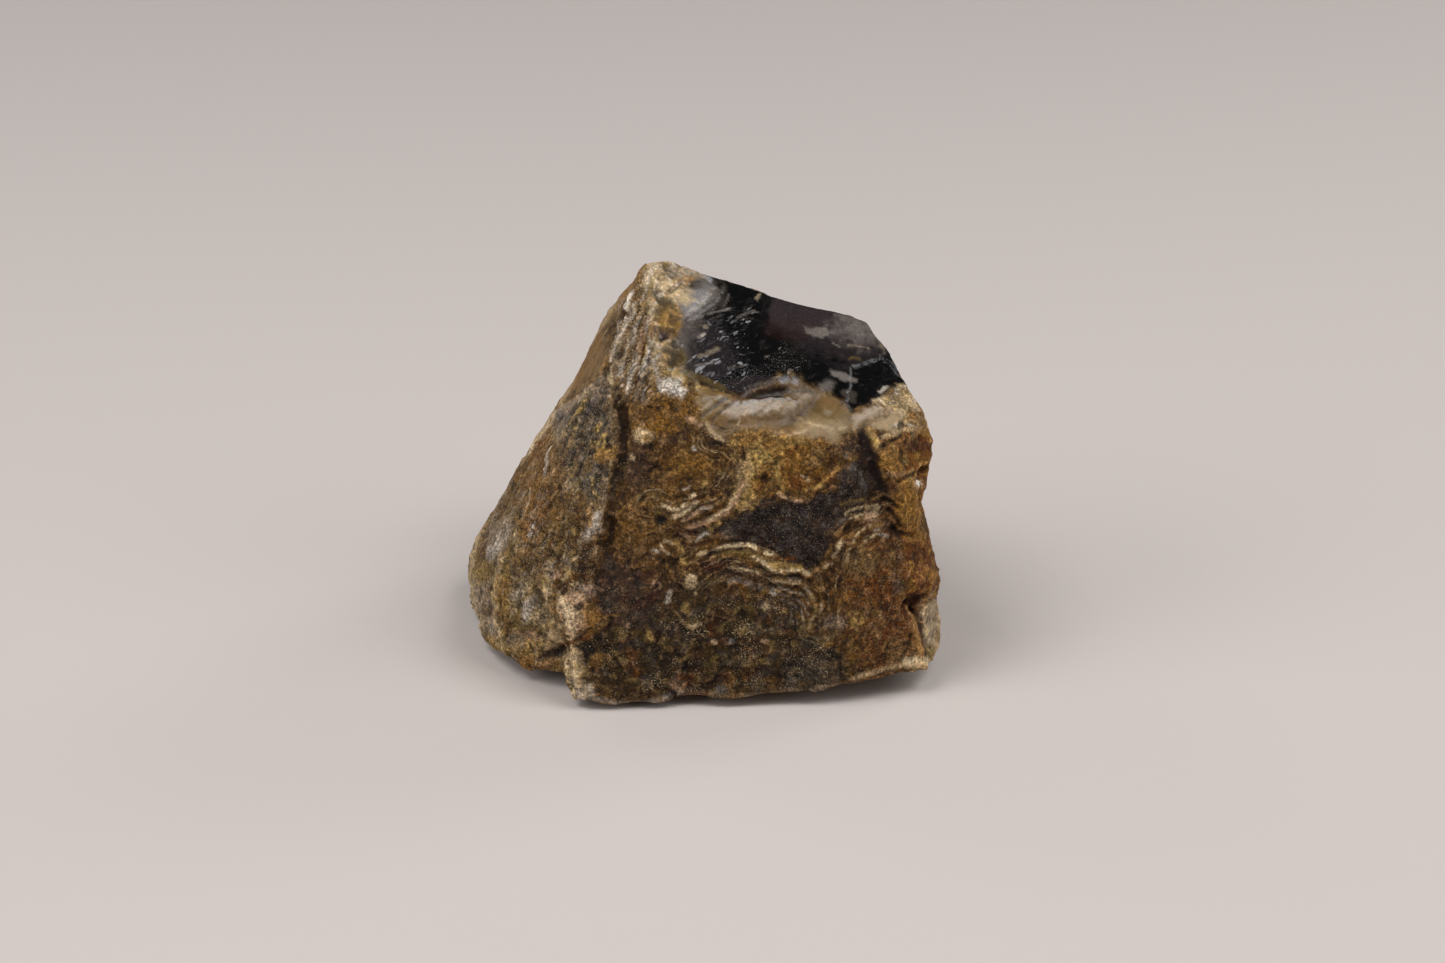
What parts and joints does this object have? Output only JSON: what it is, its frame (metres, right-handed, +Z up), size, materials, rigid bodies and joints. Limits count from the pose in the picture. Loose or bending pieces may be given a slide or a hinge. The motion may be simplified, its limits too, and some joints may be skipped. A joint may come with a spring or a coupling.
{
  "type": "rough agate",
  "caption": "A rough piece of banded agate, broken on several sides: a dark glassy break on top with a milky ledge, and a brown, swirled front beside a rounded lobe of cortex.",
  "frame": {"origin": "the middle of the bounding box, on the plane the stone rests on", "axes": "+Z up; +Y from the banded front to the back; +X to the right of the front"},
  "size_m": [0.0556, 0.0406, 0.0444],
  "materials": {
    "agate": "rough broken chalcedony, glassy on its dark top"
  },
  "bodies": {
    "root": {"rough_agate": "agate"}
  },
  "joints": []
}
